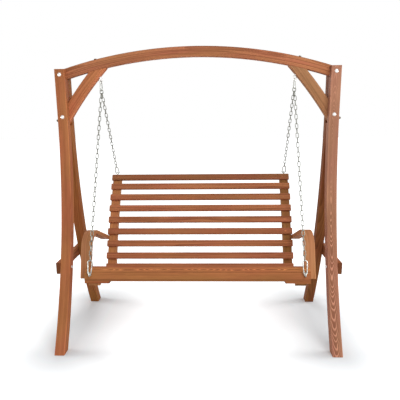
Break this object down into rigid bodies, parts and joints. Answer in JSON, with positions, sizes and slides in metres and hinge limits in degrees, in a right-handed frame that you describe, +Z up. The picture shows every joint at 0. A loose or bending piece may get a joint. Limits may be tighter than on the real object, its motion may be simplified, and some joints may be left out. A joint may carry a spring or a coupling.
{
  "type": "swing bench",
  "caption": "Garden swing bench: a slatted timber seat with bent arms hung on chains from an arched beam on bowed legs.",
  "frame": {"origin": "on the floor, midway between the four feet", "axes": "+X along the bench to the right as seen from the front, +Y to the back, +Z up"},
  "size_m": [1.76, 0.9268, 1.782],
  "materials": {
    "stand_wood": "stained, satin",
    "bench_wood": "stained, satin",
    "zinc_steel": "bright zinc plating"
  },
  "bodies": {
    "stand": {"arch_beam": "stand_wood", "beam_eye_bolts": "zinc_steel", "beam_eye_nuts": "zinc_steel", "front_leg_left": "stand_wood", "front_leg_right": "stand_wood", "knee_brace_left": "stand_wood", "knee_brace_right": "stand_wood", "leg_bolts": "zinc_steel", "leg_nuts": "zinc_steel", "rail_bolts": "zinc_steel", "rail_nuts": "zinc_steel", "rear_leg_left": "stand_wood", "rear_leg_right": "stand_wood", "side_rail_left": "stand_wood", "side_rail_right": "stand_wood", "side_screws": "zinc_steel"},
    "swing": {"arm_left": "bench_wood", "arm_right": "bench_wood", "arm_screws": "zinc_steel", "back_slat_1": "bench_wood", "back_slat_2": "bench_wood", "back_slat_3": "bench_wood", "back_slat_4": "bench_wood", "back_slat_5": "bench_wood", "back_slat_6": "bench_wood", "back_slat_7": "bench_wood", "back_slat_8": "bench_wood", "back_slat_9": "bench_wood", "back_stile_left": "bench_wood", "back_stile_right": "bench_wood", "corner_plate_left": "bench_wood", "corner_plate_right": "bench_wood", "front_chain_left": "zinc_steel", "front_chain_right": "zinc_steel", "front_hook_left": "zinc_steel", "front_hook_right": "zinc_steel", "front_rail": "bench_wood", "front_screw_eyes": "zinc_steel", "joining_links": "zinc_steel", "rear_chain_left": "zinc_steel", "rear_chain_right": "zinc_steel", "rear_hook_left": "zinc_steel", "rear_hook_right": "zinc_steel", "rear_screw_eyes": "zinc_steel", "seat_rail_left": "bench_wood", "seat_rail_right": "bench_wood", "seat_slat_1": "bench_wood", "seat_slat_2": "bench_wood", "seat_slat_3": "bench_wood", "seat_slat_4": "bench_wood", "seat_slat_5": "bench_wood", "top_hook_left": "zinc_steel", "top_hook_right": "zinc_steel", "wood_screws": "zinc_steel"},
    "front_gate_left": {"front_gate_left": "zinc_steel"},
    "front_gate_right": {"front_gate_right": "zinc_steel"},
    "rear_gate_left": {"rear_gate_left": "zinc_steel"},
    "rear_gate_right": {"rear_gate_right": "zinc_steel"},
    "top_gate_left": {"top_gate_left": "zinc_steel"},
    "top_gate_right": {"top_gate_right": "zinc_steel"}
  },
  "joints": [
    {"name": "swing", "type": "hinge", "parent": "stand", "child": "swing", "pos_m": [0, 0, 1.58428], "axis": [1, 0, 0], "range_deg": [-25, 25]},
    {"name": "front_gate_left_hinge", "type": "hinge", "parent": "swing", "child": "front_gate_left", "pos_m": [-0.6121, -0.40374, 0.50668], "axis": [0, -0.9283, 0.3719], "range_deg": [0, 18], "stiffness_Nm_per_rad": 0.04, "springref_deg": -20.05},
    {"name": "front_gate_right_hinge", "type": "hinge", "parent": "swing", "child": "front_gate_right", "pos_m": [0.6121, -0.40374, 0.50668], "axis": [0, 0.9283, -0.3719], "range_deg": [0, 18], "stiffness_Nm_per_rad": 0.04, "springref_deg": -20.05},
    {"name": "rear_gate_left_hinge", "type": "hinge", "parent": "swing", "child": "rear_gate_left", "pos_m": [-0.59402, 0.4144, 1.01382], "axis": [0, 0.7703, 0.6377], "range_deg": [0, 18], "stiffness_Nm_per_rad": 0.04, "springref_deg": -20.05},
    {"name": "rear_gate_right_hinge", "type": "hinge", "parent": "swing", "child": "rear_gate_right", "pos_m": [0.59402, 0.4144, 1.01382], "axis": [0, -0.7703, -0.6377], "range_deg": [0, 18], "stiffness_Nm_per_rad": 0.04, "springref_deg": -20.05},
    {"name": "top_gate_left_hinge", "type": "hinge", "parent": "swing", "child": "top_gate_left", "pos_m": [-0.59011, -0.00958, 1.57481], "axis": [0.9659, -0.2588, 0], "range_deg": [0, 18], "stiffness_Nm_per_rad": 0.04, "springref_deg": -20.05},
    {"name": "top_gate_right_hinge", "type": "hinge", "parent": "swing", "child": "top_gate_right", "pos_m": [0.59011, -0.00958, 1.57481], "axis": [0.9659, 0.2588, 0], "range_deg": [0, 18], "stiffness_Nm_per_rad": 0.04, "springref_deg": -20.05}
  ]
}
